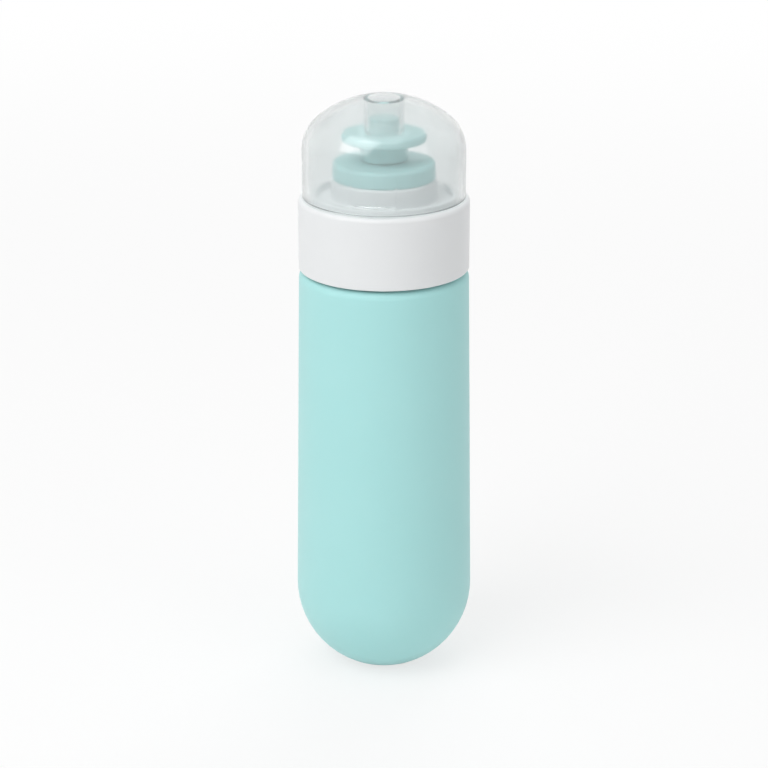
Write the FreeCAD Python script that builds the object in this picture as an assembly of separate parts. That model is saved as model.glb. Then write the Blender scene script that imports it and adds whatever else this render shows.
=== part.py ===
"""Travel bottle of soft silicone with a rigid neck, a screw closure and a clear flip lid.

Millimetres, +Z up, origin at the centre of the standing face. The lid opens at the front (-Y)
and hangs on a pin at the back (+Y). Pieces that turn about the bottle's axis are drawn as half
sections in the XZ plane, with x as the radius.
"""
import FreeCAD
import Part
import math
import os

# Silicone body
body_height = 102.0           # standing face to the top of the lip
body_top_radius = 20.5        # outside, just under the closure
body_round_radius = 21.8      # ball of the round bottom, the widest place
body_wall = 2.4
body_floor = 2.8              # thickness over the standing face
foot_radius = 9.0             # flat that the bottle stands on
foot_dimple_radius = 5.5
foot_dimple_depth = 0.6
lip_thickness = 3.0           # the silicone that the neck grips
lip_edge_radius = 2.2

# Screw closure
closure_height = 17.8         # top of the lip to the deck
closure_gap = 0.4             # shadow gap between the lip and the skirt
skirt_wall = 1.3              # the band that shows
skirt_edge_radius = 0.4
skirt_room = 1.3              # between the skirt and the threaded sleeve
sleeve_wall = 1.4
sleeve_foot_gap = 3.0         # sleeve above the neck's flange
thread_room = 1.4             # between the sleeve and the neck, which both threads share
deck_thickness = 2.0
deck_edge_radius = 1.1
rim_height = 1.4              # upstand inside the lid's wall
rim_wall = 1.2
rim_gap = 0.4                 # between the upstand and the lid's wall
rim_open_angle = 60.0         # the upstand stops this far each side of the hinge

# Neck insert and its washer
neck_wall = 2.4
neck_fit = 0.1                # silicone round the neck
neck_edge = 0.5
flange_thickness = 1.4        # rests on the lip
flange_room = 1.0             # between the flange and the skirt
anchor_thickness = 1.8        # barb under the lip
anchor_room = 1.2             # between the barb and the body's inner wall
anchor_taper = 1.0            # lead-in of the barb
washer_thickness = 1.2
washer_room = 0.3             # between the washer and the sleeve

# Spout, valve and the ring that holds the valve
spout_height = 4.8            # deck to the spout's top
spout_wall = 2.6
spout_roof = 1.4
spout_edge_radius = 0.6
valve_head_step = 0.4         # the spout's edge stands outside the valve's head
valve_head_height = 4.0
valve_edge_radius = 0.9
valve_stem_radius = 8.2
valve_fit = 0.1               # round the stem
valve_flange_lip = 1.4
valve_flange_height = 1.4
valve_flange_room = 0.4
valve_bore_radius = 6.2
valve_dish_radius = 4.6
valve_dish_depth = 1.1
valve_membrane = 1.0
valve_slit_length = 6.0
valve_slit_width = 0.2
retainer_height = 2.4
retainer_bore_radius = 6.6
retainer_fit = 0.05

# Clear lid
lid_step = 1.0                # the closure's edge stands outside the lid
lid_height = 24.6             # deck to the top of the dome
lid_shoulder_radius = 10.0
lid_crown_ease = 6.0          # the crown's ball is this much larger than the lid
lid_wall = 1.6
lid_seat_gap = 0.15
socket_wall = 1.0             # ring in the dome that holds the stopper
thumb_radius = 8.0            # plan curve of the thumb tab
thumb_reach = 1.3
thumb_thickness = 1.6
thumb_rise = 0.9              # room for a nail under the tab

# Silicone stopper in the lid
stopper_gap = 0.15            # stopper above the closed valve
stopper_stem_radius = 5.6
stopper_stem_length = 4.6
stopper_tip_edge = 0.6
stopper_flange_radius = 10.0
stopper_flange_height = 2.2
stopper_edge_radius = 0.8
stopper_peg_radius = 3.6
stopper_peg_height = 3.4
stopper_fit = 0.05            # peg in the lid's socket

# Hinge
pin_radius = 1.0
pin_press = 0.01              # pin in the ears
pin_play = 0.05               # pin in the knuckle
pin_chamfer = 0.2
knuckle_radius = 2.2
knuckle_width = 8.0
ear_width = 2.6
ear_foot = 5.2                # how far the ears' feet reach in front of the pin
hinge_inset = 0.3             # pin inside the lid's outer wall
hinge_floor_gap = 0.4         # knuckle above the deck
hinge_side_gap = 0.25         # knuckle to ear
hinge_clearance = 0.4         # lid's wall round the ears

# Heights that the sizes give
lip_bottom_z = body_height - lip_thickness
flange_top_z = body_height + flange_thickness
deck_z = body_height + closure_height
deck_under_z = deck_z - deck_thickness
neck_top_z = deck_under_z - washer_thickness
spout_top_z = deck_z + spout_height
roof_under_z = spout_top_z - spout_roof
valve_top_z = spout_top_z + valve_head_height
valve_under_z = roof_under_z - valve_flange_height
lid_bottom_z = deck_z + lid_seat_gap
lid_top_z = deck_z + lid_height
stopper_tip_z = valve_top_z + stopper_gap
stopper_under_z = stopper_tip_z + stopper_stem_length
stopper_top_z = stopper_under_z + stopper_flange_height

# Radii that the sizes give
closure_radius = body_top_radius
skirt_inner_radius = closure_radius - skirt_wall
sleeve_outer_radius = skirt_inner_radius - skirt_room
sleeve_inner_radius = sleeve_outer_radius - sleeve_wall
neck_radius = sleeve_inner_radius - thread_room
neck_bore_radius = neck_radius - neck_wall
valve_flange_radius = valve_stem_radius + valve_flange_lip
spout_bore_radius = valve_flange_radius + valve_flange_room
spout_radius = spout_bore_radius + spout_wall
lid_radius = closure_radius - lid_step
lid_inner_radius = lid_radius - lid_wall

# Hinge pin line, along X
hinge_y = lid_radius - hinge_inset
hinge_z = deck_z + hinge_floor_gap + knuckle_radius
ear_inner_x = knuckle_width / 2 + hinge_side_gap
ear_outer_x = ear_inner_x + ear_width

overshoot = 1.0               # how far a cutting tool runs past what it cuts
same_point = 1e-6             # two points nearer than this are one
axis = FreeCAD.Vector(0, 0, 1)


class Section:
    """A half section, drawn edge by edge from a start point, that turns into a solid of revolution."""

    def __init__(self, radius, z):
        self.start = FreeCAD.Vector(radius, 0, z)
        self.here = self.start
        self.edges = []

    def line(self, radius, z):
        """Go straight to a point."""
        end = FreeCAD.Vector(radius, 0, z)
        self.edges.append(Part.LineSegment(self.here, end).toShape())
        self.here = end
        return self

    def arc(self, centre, end):
        """Go round a circle's centre to a point, the short way."""
        middle = FreeCAD.Vector(centre[0], 0, centre[1])
        end = FreeCAD.Vector(end[0], 0, end[1])
        halfway = (self.here - middle) + (end - middle)
        halfway.normalize()
        through = middle + halfway * (end - middle).Length
        self.edges.append(Part.Arc(self.here, through, end).toShape())
        self.here = end
        return self

    def turned(self):
        """Close the section and turn it about the bottle's axis."""
        if self.here.distanceToPoint(self.start) > same_point:
            self.line(self.start.x, self.start.z)
        wire = Part.Wire(Part.__sortEdges__(self.edges))
        return Part.Face(wire).revolve(FreeCAD.Vector(0, 0, 0), axis, 360)


def cross_bar(radius, x_from, x_to):
    """A round bar along X on the hinge pin's line."""
    start = FreeCAD.Vector(x_from, hinge_y, hinge_z)
    return Part.makeCylinder(radius, x_to - x_from, start, FreeCAD.Vector(1, 0, 0))


def side_plate(points, x_from, x_to):
    """A flat plate with a (y, z) outline, between two planes across X."""
    corners = [FreeCAD.Vector(x_from, y, z) for y, z in points]
    face = Part.Face(Part.makePolygon(corners + corners[:1]))
    return face.extrude(FreeCAD.Vector(x_to - x_from, 0, 0))


def flank(ball_radius, ball_z, top_radius, top_z):
    """Point where a straight flank from (top_radius, top_z) runs into the ball of the bottom."""
    height = top_z - ball_z
    lean = math.asin(ball_radius / math.hypot(top_radius, height)) - math.atan2(top_radius, height)
    return ball_radius * math.cos(lean), ball_z + ball_radius * math.sin(lean)


def squeeze_body():
    """Soft shell with a round bottom, a flat foot and a lip that turns in to the neck."""
    ball_z = math.sqrt(body_round_radius ** 2 - foot_radius ** 2)
    lip_corner = (body_top_radius - lip_edge_radius, body_height - lip_edge_radius)
    widest = flank(body_round_radius, ball_z, body_top_radius, lip_corner[1])
    hollow_radius = body_round_radius - body_wall
    hollow_z = body_floor + hollow_radius
    hollow_top_radius = body_top_radius - body_wall
    hollow_widest = flank(hollow_radius, hollow_z, hollow_top_radius, lip_bottom_z)
    mouth_radius = neck_radius + neck_fit
    section = Section(0, foot_dimple_depth)
    section.line(foot_dimple_radius - foot_dimple_depth, foot_dimple_depth)
    section.line(foot_dimple_radius, 0)
    section.line(foot_radius, 0)
    section.arc((0, ball_z), widest)
    section.line(body_top_radius, lip_corner[1])
    section.arc(lip_corner, (lip_corner[0], body_height))
    section.line(mouth_radius, body_height)
    section.line(mouth_radius, lip_bottom_z)
    section.line(hollow_top_radius, lip_bottom_z)
    section.line(*hollow_widest)
    section.arc((0, hollow_z), (0, body_floor))
    return section.turned()


def neck_insert():
    """Rigid sleeve: a barb under the silicone lip, a flange on it, and the neck that is threaded."""
    anchor_radius = body_top_radius - body_wall - anchor_room
    anchor_bottom_z = lip_bottom_z - anchor_thickness
    flange_radius = skirt_inner_radius - flange_room
    section = Section(neck_bore_radius, anchor_bottom_z)
    section.line(neck_radius, anchor_bottom_z)
    section.line(anchor_radius, anchor_bottom_z + anchor_taper)
    section.line(anchor_radius, lip_bottom_z)
    section.line(neck_radius, lip_bottom_z)
    section.line(neck_radius, body_height)
    section.line(flange_radius, body_height)
    section.line(flange_radius, flange_top_z)
    section.line(neck_radius, flange_top_z)
    section.line(neck_radius, neck_top_z - neck_edge)
    section.line(neck_radius - neck_edge, neck_top_z)
    section.line(neck_bore_radius, neck_top_z)
    return section.turned()


def sealing_washer():
    """Flat ring that the closure presses on the top of the neck."""
    outer_radius = sleeve_inner_radius - washer_room
    section = Section(neck_bore_radius, neck_top_z)
    section.line(outer_radius, neck_top_z)
    section.line(outer_radius, deck_under_z)
    section.line(neck_bore_radius, deck_under_z)
    return section.turned()


def closure_shell():
    """Turned part of the closure: skirt, deck, threaded sleeve and spout."""
    skirt_bottom_z = body_height + closure_gap
    sleeve_bottom_z = flange_top_z + sleeve_foot_gap
    hole_radius = valve_stem_radius + valve_fit
    deck_corner = (closure_radius - deck_edge_radius, deck_z - deck_edge_radius)
    spout_corner = (spout_radius - spout_edge_radius, spout_top_z - spout_edge_radius)
    skirt_corner = (closure_radius - skirt_edge_radius, skirt_bottom_z + skirt_edge_radius)
    section = Section(skirt_inner_radius, skirt_bottom_z)
    section.line(skirt_corner[0], skirt_bottom_z)
    section.arc(skirt_corner, (closure_radius, skirt_corner[1]))
    section.line(closure_radius, deck_corner[1])
    section.arc(deck_corner, (deck_corner[0], deck_z))
    section.line(spout_radius, deck_z)
    section.line(spout_radius, spout_corner[1])
    section.arc(spout_corner, (spout_corner[0], spout_top_z))
    section.line(hole_radius, spout_top_z)
    section.line(hole_radius, roof_under_z)
    section.line(spout_bore_radius, roof_under_z)
    section.line(spout_bore_radius, deck_under_z)
    section.line(sleeve_inner_radius, deck_under_z)
    section.line(sleeve_inner_radius, sleeve_bottom_z)
    section.line(sleeve_outer_radius, sleeve_bottom_z)
    section.line(sleeve_outer_radius, deck_under_z)
    section.line(skirt_inner_radius, deck_under_z)
    return section.turned()


def locating_rim():
    """Upstand on the deck that centres the lid, open at the back where the lid swings."""
    outer_radius = lid_inner_radius - rim_gap
    inner_radius = outer_radius - rim_wall
    base_z = deck_z - deck_thickness / 2
    section = Section(inner_radius, base_z)
    section.line(outer_radius, base_z)
    section.line(outer_radius, deck_z + rim_height)
    section.line(inner_radius, deck_z + rim_height)
    back_y = outer_radius * math.cos(math.radians(rim_open_angle))
    span = 2 * (outer_radius + overshoot)
    corner = FreeCAD.Vector(-span / 2, back_y, deck_z - deck_thickness)
    behind = Part.makeBox(span, span, span, corner)
    return section.turned().cut(behind)


def hinge_ear(x_from, x_to):
    """One ear of the hinge: an eye round the pin on a foot that leans back from the deck."""
    far_x = max(abs(x_from), abs(x_to))
    foot_front = (hinge_y - ear_foot, deck_z)
    foot_back_y = math.sqrt((closure_radius - deck_edge_radius) ** 2 - far_x ** 2)
    sunk_z = deck_z - deck_thickness / 2
    reach = math.hypot(foot_front[0] - hinge_y, foot_front[1] - hinge_z)
    toward = math.atan2(foot_front[1] - hinge_z, foot_front[0] - hinge_y)
    touch = toward - math.acos(knuckle_radius / reach)
    crown = (hinge_y + knuckle_radius * math.cos(touch), hinge_z + knuckle_radius * math.sin(touch))
    outline = [
        (foot_front[0], sunk_z),
        (foot_back_y, sunk_z),
        (foot_back_y, deck_z),
        (hinge_y, hinge_z - knuckle_radius),
        (hinge_y, hinge_z),
        crown,
        foot_front,
    ]
    return side_plate(outline, x_from, x_to).fuse(cross_bar(knuckle_radius, x_from, x_to))


def screw_closure():
    """White closure: the turned shell with the lid's rim and the hinge ears."""
    solid = closure_shell().fuse(locating_rim())
    for x_from in (-ear_outer_x, ear_inner_x):
        solid = solid.fuse(hinge_ear(x_from, x_from + ear_width))
    bore = cross_bar(pin_radius + pin_press, -ear_outer_x - overshoot, ear_outer_x + overshoot)
    return solid.cut(bore).removeSplitter()


def valve():
    """Silicone valve: head over the spout, stem through its roof, flange below, slit membrane."""
    head_radius = spout_radius - valve_head_step
    head_corner = (head_radius - valve_edge_radius, valve_top_z - valve_edge_radius)
    dish_z = valve_top_z - valve_dish_depth
    membrane_under_z = dish_z - valve_membrane
    ball = (valve_dish_radius ** 2 + valve_dish_depth ** 2) / (2 * valve_dish_depth)
    section = Section(0, membrane_under_z)
    section.line(valve_bore_radius, membrane_under_z)
    section.line(valve_bore_radius, valve_under_z)
    section.line(valve_flange_radius, valve_under_z)
    section.line(valve_flange_radius, roof_under_z)
    section.line(valve_stem_radius, roof_under_z)
    section.line(valve_stem_radius, spout_top_z)
    section.line(head_radius, spout_top_z)
    section.line(head_radius, head_corner[1])
    section.arc(head_corner, (head_corner[0], valve_top_z))
    section.line(valve_dish_radius, valve_top_z)
    section.arc((0, dish_z + ball), (0, dish_z))
    solid = section.turned()
    for long_x, long_y in ((valve_slit_length, valve_slit_width), (valve_slit_width, valve_slit_length)):
        corner = FreeCAD.Vector(-long_x / 2, -long_y / 2, membrane_under_z - overshoot)
        solid = solid.cut(Part.makeBox(long_x, long_y, valve_top_z - corner.z, corner))
    return solid


def valve_retainer():
    """Ring pressed into the spout from below, which keeps the valve's flange against the roof."""
    outer_radius = spout_bore_radius - retainer_fit
    bottom_z = valve_under_z - retainer_height
    section = Section(retainer_bore_radius, bottom_z)
    section.line(outer_radius, bottom_z)
    section.line(outer_radius, valve_under_z)
    section.line(retainer_bore_radius, valve_under_z)
    return section.turned()


def lid_form(inset, bottom_z):
    """The lid's filled form from bottom_z up, drawn in by an inset from its outer face."""
    shoulder_x = lid_radius - lid_shoulder_radius
    crown_radius = lid_radius + lid_crown_ease
    crown_z = lid_top_z - crown_radius
    shoulder_z = crown_z + math.sqrt(lid_crown_ease ** 2 + 2 * shoulder_x * lid_crown_ease)
    outward = FreeCAD.Vector(shoulder_x, 0, shoulder_z - crown_z).normalize()
    meet = outward * (crown_radius - inset) + axis * crown_z
    section = Section(0, bottom_z)
    section.line(lid_radius - inset, bottom_z)
    section.line(lid_radius - inset, shoulder_z)
    section.arc((shoulder_x, shoulder_z), (meet.x, meet.z))
    section.arc((0, crown_z), (0, lid_top_z - inset))
    return section.turned()


def lid_socket():
    """Ring that hangs from the dome and holds the stopper's peg, rooted half way into the lid's wall."""
    inner_radius = stopper_peg_radius + stopper_fit
    height = lid_top_z - stopper_top_z
    base = FreeCAD.Vector(0, 0, stopper_top_z)
    ring = Part.makeCylinder(inner_radius + socket_wall, height, base)
    ring = ring.cut(Part.makeCylinder(inner_radius, height, base))
    return ring.common(lid_form(lid_wall / 2, lid_bottom_z))


def thumb_tab():
    """Crescent at the front of the lid's edge, for a thumbnail."""
    base_z = lid_bottom_z + thumb_rise
    centre_y = -(lid_radius + thumb_reach - thumb_radius)
    disc = Part.makeCylinder(thumb_radius, thumb_thickness, FreeCAD.Vector(0, centre_y, base_z))
    inside = lid_radius - lid_wall / 2
    return disc.cut(Part.makeCylinder(inside, thumb_thickness, FreeCAD.Vector(0, 0, base_z)))


def ear_slot(x_from, x_to):
    """Room in the lid's wall for one ear, down through the lid's edge."""
    room = knuckle_radius + hinge_clearance
    front_y = hinge_y - ear_foot - hinge_clearance
    below_z = lid_bottom_z - overshoot
    outline = [
        (front_y, below_z),
        (hinge_y + room, below_z),
        (hinge_y + room, hinge_z),
        (hinge_y, hinge_z),
        (hinge_y, hinge_z + room),
        (front_y, hinge_z + room),
    ]
    return side_plate(outline, x_from, x_to).fuse(cross_bar(room, x_from, x_to))


def flip_lid():
    """Clear dome with a socket for the stopper, a thumb tab, a hinge knuckle and slots for the ears."""
    hollow = lid_form(lid_wall, lid_bottom_z - overshoot)
    solid = lid_form(0, lid_bottom_z).cut(hollow).fuse(lid_socket()).fuse(thumb_tab())
    slot_inner_x = knuckle_width / 2
    slot_outer_x = ear_outer_x + hinge_clearance
    solid = solid.cut(ear_slot(-slot_outer_x, -slot_inner_x)).cut(ear_slot(slot_inner_x, slot_outer_x))
    solid = solid.fuse(cross_bar(knuckle_radius, -knuckle_width / 2, knuckle_width / 2))
    bore = cross_bar(pin_radius + pin_play, -knuckle_width, knuckle_width)
    return solid.cut(bore).removeSplitter()


def lid_stopper():
    """Silicone stopper: a stem that closes the valve, a wide flange and a peg for the lid's socket."""
    rim = (stopper_flange_radius - stopper_edge_radius, stopper_top_z - stopper_edge_radius)
    peg_top_z = stopper_top_z + stopper_peg_height
    section = Section(0, stopper_tip_z)
    section.line(stopper_stem_radius - stopper_tip_edge, stopper_tip_z)
    section.line(stopper_stem_radius, stopper_tip_z + stopper_tip_edge)
    section.line(stopper_stem_radius, stopper_under_z)
    section.line(stopper_flange_radius, stopper_under_z)
    section.line(stopper_flange_radius, rim[1])
    section.arc(rim, (rim[0], stopper_top_z))
    section.line(stopper_peg_radius, stopper_top_z)
    section.line(stopper_peg_radius, peg_top_z)
    section.line(0, peg_top_z)
    return section.turned()


def hinge_pin():
    """Straight pin through both ears and the lid's knuckle."""
    pin = cross_bar(pin_radius, -ear_outer_x, ear_outer_x)
    ends = [edge for edge in pin.Edges if edge.Closed]
    return pin.makeChamfer(pin_chamfer, ends)


def main():
    """Build every piece and write it to its own file."""
    pieces = {
        "squeeze_body": squeeze_body(),
        "neck_insert": neck_insert(),
        "sealing_washer": sealing_washer(),
        "screw_closure": screw_closure(),
        "valve": valve(),
        "valve_retainer": valve_retainer(),
        "flip_lid": flip_lid(),
        "lid_stopper": lid_stopper(),
        "hinge_pin": hinge_pin(),
    }
    os.makedirs("parts", exist_ok=True)
    for name, shape in pieces.items():
        shape.exportStep(f"parts/{name}.step")
        box = shape.BoundBox
        print(f"{name}: {len(shape.Solids)} solid, valid {shape.isValid()}, {shape.Volume:.1f} mm3, "
              f"z {box.ZMin:.2f} to {box.ZMax:.2f}, y {box.YMin:.2f} to {box.YMax:.2f}")


main()
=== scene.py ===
"""Dresses the travel bottle: a soft silicone body, a white screw closure with a slit valve, a clear flip lid.

The sizes of pieces are in millimetres, as on a drawing, and a mesh is brought to metres when its piece is
placed. Finishes and the studio are in metres. +Z is up, the lid's thumb tab is at the front (-Y) and its
hinge at the back (+Y).
"""
import bmesh
import bpy
import logging
import math
from dataclasses import dataclass
from enum import Enum
from functools import cache
from mathutils import Matrix, Vector


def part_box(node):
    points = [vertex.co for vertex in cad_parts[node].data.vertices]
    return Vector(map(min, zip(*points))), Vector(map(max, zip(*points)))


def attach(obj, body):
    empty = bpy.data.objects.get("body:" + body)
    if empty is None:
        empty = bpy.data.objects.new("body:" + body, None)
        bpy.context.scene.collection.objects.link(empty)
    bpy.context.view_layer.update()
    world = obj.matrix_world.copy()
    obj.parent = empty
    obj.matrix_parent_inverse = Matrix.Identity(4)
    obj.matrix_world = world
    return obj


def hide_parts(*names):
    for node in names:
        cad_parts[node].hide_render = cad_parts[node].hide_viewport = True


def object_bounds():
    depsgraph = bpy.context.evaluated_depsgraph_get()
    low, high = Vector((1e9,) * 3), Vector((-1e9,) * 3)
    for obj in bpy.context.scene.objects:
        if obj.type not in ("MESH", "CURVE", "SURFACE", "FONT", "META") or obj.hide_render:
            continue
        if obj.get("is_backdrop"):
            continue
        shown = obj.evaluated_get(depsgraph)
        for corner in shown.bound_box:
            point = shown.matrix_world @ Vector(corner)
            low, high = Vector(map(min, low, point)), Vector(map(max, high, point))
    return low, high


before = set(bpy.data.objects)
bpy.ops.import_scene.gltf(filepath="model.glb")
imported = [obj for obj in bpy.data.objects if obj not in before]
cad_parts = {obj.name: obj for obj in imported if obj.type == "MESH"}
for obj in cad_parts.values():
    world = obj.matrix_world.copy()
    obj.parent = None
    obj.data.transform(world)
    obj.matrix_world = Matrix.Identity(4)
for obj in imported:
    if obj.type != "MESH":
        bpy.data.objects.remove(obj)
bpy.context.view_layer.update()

LOG = logging.getLogger("travel_bottle")
METRES = 0.001                      # one millimetre
TURN_STEPS = 160                    # faces round a turned piece
ARC_STEP = math.radians(6.0)        # turn of an outline's arc from point to point
CORNER_STEP = math.radians(15.0)    # the same on a rounded corner
FEWEST_STEPS = 2                    # that either is drawn in
SIDE_SHARE = 0.48                   # a rounded corner takes at most this share of a side
SUPPORT = 0.12                      # a straight stretch has a point this near to each of its ends
SUPPORTED = 4 * SUPPORT             # a stretch up to this length has none
RIM_STEPS = 4                       # faces across a plate's rounded rim
RIM_PROFILE = 0.5                   # which makes that rounding an arc
CUT_PAST = 1.0                      # a cutting solid runs this far past what it cuts
SAME_POINT = 1e-4                   # points nearer to each other than this are one
CREASE = math.radians(34.0)         # a sharper edge than this is shaded as an edge
NOISE_RANGE = (0.3, 0.7)            # where most of a noise field's values lie

Colour = tuple[float, float, float, float]
Point = tuple[float, float]
Inputs = dict[str | int, object]
Mesh = bpy.types.Mesh
Node = bpy.types.Node
Socket = bpy.types.NodeSocket


class Body(Enum):
    """The bodies that move against each other."""

    BOTTLE = "bottle"
    WASHER = "washer"
    CLOSURE = "closure"
    LID = "lid"


class Slot(Enum):
    """The record's material slots."""

    BODY = "body_silicone"
    NECK = "neck_plastic"
    WASHER = "washer_silicone"
    CLOSURE = "closure_plastic"
    VALVE = "valve_silicone"
    LID = "lid_plastic"
    PIN = "pin_steel"


class Join(Enum):
    """How one closed mesh is put to another."""

    ADD = "UNION"
    CUT = "DIFFERENCE"


@dataclass(frozen=True)
class NodeBox:
    """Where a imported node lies, in millimetres."""

    low: Vector
    high: Vector

    @classmethod
    def of(cls, node: str) -> "NodeBox":
        """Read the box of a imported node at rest."""
        low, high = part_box(node)
        return cls(low / METRES, high / METRES)

    @property
    def bottom(self) -> float:
        """Height of the lowest point."""
        return self.low.z

    @property
    def top(self) -> float:
        """Height of the highest point."""
        return self.high.z

    @property
    def radius(self) -> float:
        """Half of the width across X."""
        return (self.high.x - self.low.x) / 2

    @property
    def middle(self) -> Vector:
        """Centre of the box."""
        return (self.low + self.high) / 2


@dataclass(frozen=True)
class Relief:
    """How a height field shows: how much of it, and how deep it is in metres."""

    strength: float
    distance: float


class Graph:
    """A node tree that is wired by short calls."""

    def __init__(self, tree: bpy.types.NodeTree) -> None:
        """Start on an emptied tree."""
        self.tree = tree
        tree.nodes.clear()

    @classmethod
    def of(cls, owner: bpy.types.Material | bpy.types.World) -> "Graph":
        """Start on the nodes of a material or of the world."""
        owner.use_nodes = True
        return cls(owner.node_tree)

    def node(self, kind: str, inputs: Inputs | None = None, **settings: object) -> Node:
        """Add a node.

        Args:
            kind: The node's type name.
            inputs: What goes into its named or numbered sockets: a socket is linked, a value is set.
            **settings: Values of the node's own properties.

        Returns:
            The new node.
        """
        made = self.tree.nodes.new(kind)
        for name, value in settings.items():
            setattr(made, name, value)
        self.feed(made, inputs or {})
        return made

    def feed(self, node: Node, inputs: Inputs) -> None:
        """Fill a node's sockets.

        Args:
            node: The node.
            inputs: What goes into its named or numbered sockets: a socket is linked, a value is set.
        """
        for name, value in inputs.items():
            if isinstance(value, Socket):
                self.tree.links.new(value, node.inputs[name])
            else:
                node.inputs[name].default_value = value

    def math(self, operation: str, *values: Socket | float) -> Socket:
        """Work a number out from one or two others."""
        return self.node("ShaderNodeMath", dict(enumerate(values)), operation=operation).outputs[0]

    def mix(self, share: Socket, first: Socket, second: Socket) -> Socket:
        """Blend two shaders: a share of 0 gives the first, 1 the second."""
        return self.node("ShaderNodeMixShader", {0: share, 1: first, 2: second}).outputs[0]

    def noise(self, coords: Socket, scale: float, detail: float = 2.0) -> Socket:
        """Add a noise field, about 0 to 1, with so many waves to the metre and finer layers on top."""
        made = self.node("ShaderNodeTexNoise", {"Vector": coords, "Scale": scale, "Detail": detail})
        return made.outputs["Fac"]

    def spread(self, value: Socket, low: float, high: float) -> Socket:
        """Map a noise field's middle range to a range of its own.

        Args:
            value: The field.
            low: What the field's low places become.
            high: What its high places become.

        Returns:
            The mapped value.
        """
        start, end = NOISE_RANGE
        made = self.node("ShaderNodeMapRange", {
            "Value": value, "From Min": start, "From Max": end, "To Min": low, "To Max": high})
        return made.outputs["Result"]

    def tint(self, value: Socket, first: Colour, second: Colour) -> Socket:
        """Blend two colours: a value of 0 gives the first, 1 the second."""
        made = self.node("ShaderNodeMix", {"Factor": value, "A": first, "B": second}, data_type="RGBA")
        return made.outputs["Result"]

    def bump(self, height: Socket, relief: Relief, normal: Socket | None = None) -> Socket:
        """Turn a height field into a bent normal.

        Args:
            height: The field.
            relief: How it shows.
            normal: A normal that is bent already.

        Returns:
            The normal.
        """
        made = self.node("ShaderNodeBump", {
            "Height": height, "Strength": relief.strength, "Distance": relief.distance})
        if normal:
            self.feed(made, {"Normal": normal})
        return made.outputs["Normal"]


@dataclass(frozen=True)
class Finish:
    """What every finish has: a name, and a shader whose inputs follow the place on the piece."""

    name: str

    @cache
    def material(self) -> bpy.types.Material:
        """Build the material, once.

        Returns:
            The material of this finish.
        """
        made = bpy.data.materials.new(self.name)
        graph = Graph.of(made)
        coords = graph.node("ShaderNodeTexCoord").outputs["Object"]
        shader = graph.node("ShaderNodeBsdfPrincipled", self.sockets(graph, coords))
        graph.node("ShaderNodeOutputMaterial", {"Surface": self.surface(graph, shader.outputs["BSDF"])})
        return made

    def sockets(self, graph: Graph, coords: Socket) -> Inputs:
        """Work out what goes into the shader at each place on the piece."""
        raise NotImplementedError

    def surface(self, graph: Graph, shaded: Socket) -> Socket:
        """Put the shader on the surface as it is."""
        return shaded


@dataclass(frozen=True)
class Silicone(Finish):
    """Soft silicone: a faint cloud in the colour, a fine moulded grain, a soft bloom and the mould's seam."""

    colour: Colour
    cloud: Colour
    roughness: Point = (0.5, 0.6)
    cloud_scale: float = 45.0
    cloud_detail: float = 3.0
    grain_scale: float = 2600.0
    grain: Relief = Relief(strength=0.35, distance=0.00002)
    seam_half_width: float = 0.0
    seam: Relief = Relief(strength=0.6, distance=0.00006)
    depth: float = 0.2              # share of the light that goes under the surface
    reach: float = 0.003            # how far it goes there
    reach_by_colour: tuple[float, float, float] = (1.0, 0.9, 0.85)
    bloom: float = 0.12
    bloom_roughness: float = 0.45
    bend: float = 1.41              # index of refraction

    def relief(self, graph: Graph, coords: Socket, grain: Socket) -> Socket:
        """Raise the grain, and the line where the halves of the mould met.

        Args:
            graph: The material's nodes.
            coords: The place on the piece, in metres.
            grain: The moulded grain.

        Returns:
            The bent normal.
        """
        normal = graph.bump(grain, self.grain)
        if self.seam_half_width:
            across = graph.node("ShaderNodeSeparateXYZ", {"Vector": coords}).outputs["Y"]
            line = graph.node("ShaderNodeMapRange", {
                "Value": graph.math("ABSOLUTE", across), "From Max": self.seam_half_width,
                "To Min": 1.0, "To Max": 0.0}, interpolation_type="SMOOTHSTEP")
            normal = graph.bump(line.outputs["Result"], self.seam, normal)
        return normal

    def sockets(self, graph: Graph, coords: Socket) -> Inputs:
        """Work out what goes into the shader.

        Args:
            graph: The material's nodes.
            coords: The place on the piece, in metres.

        Returns:
            The shader's inputs.
        """
        cloud = graph.noise(coords, self.cloud_scale, self.cloud_detail)
        grain = graph.noise(coords, self.grain_scale)
        return {
            "Base Color": graph.tint(cloud, self.colour, self.cloud),
            "Roughness": graph.spread(grain, *self.roughness),
            "Normal": self.relief(graph, coords, grain),
            "Subsurface Weight": self.depth,
            "Subsurface Radius": self.reach_by_colour,
            "Subsurface Scale": self.reach,
            "Sheen Weight": self.bloom,
            "Sheen Roughness": self.bloom_roughness,
            "IOR": self.bend,
        }


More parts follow.
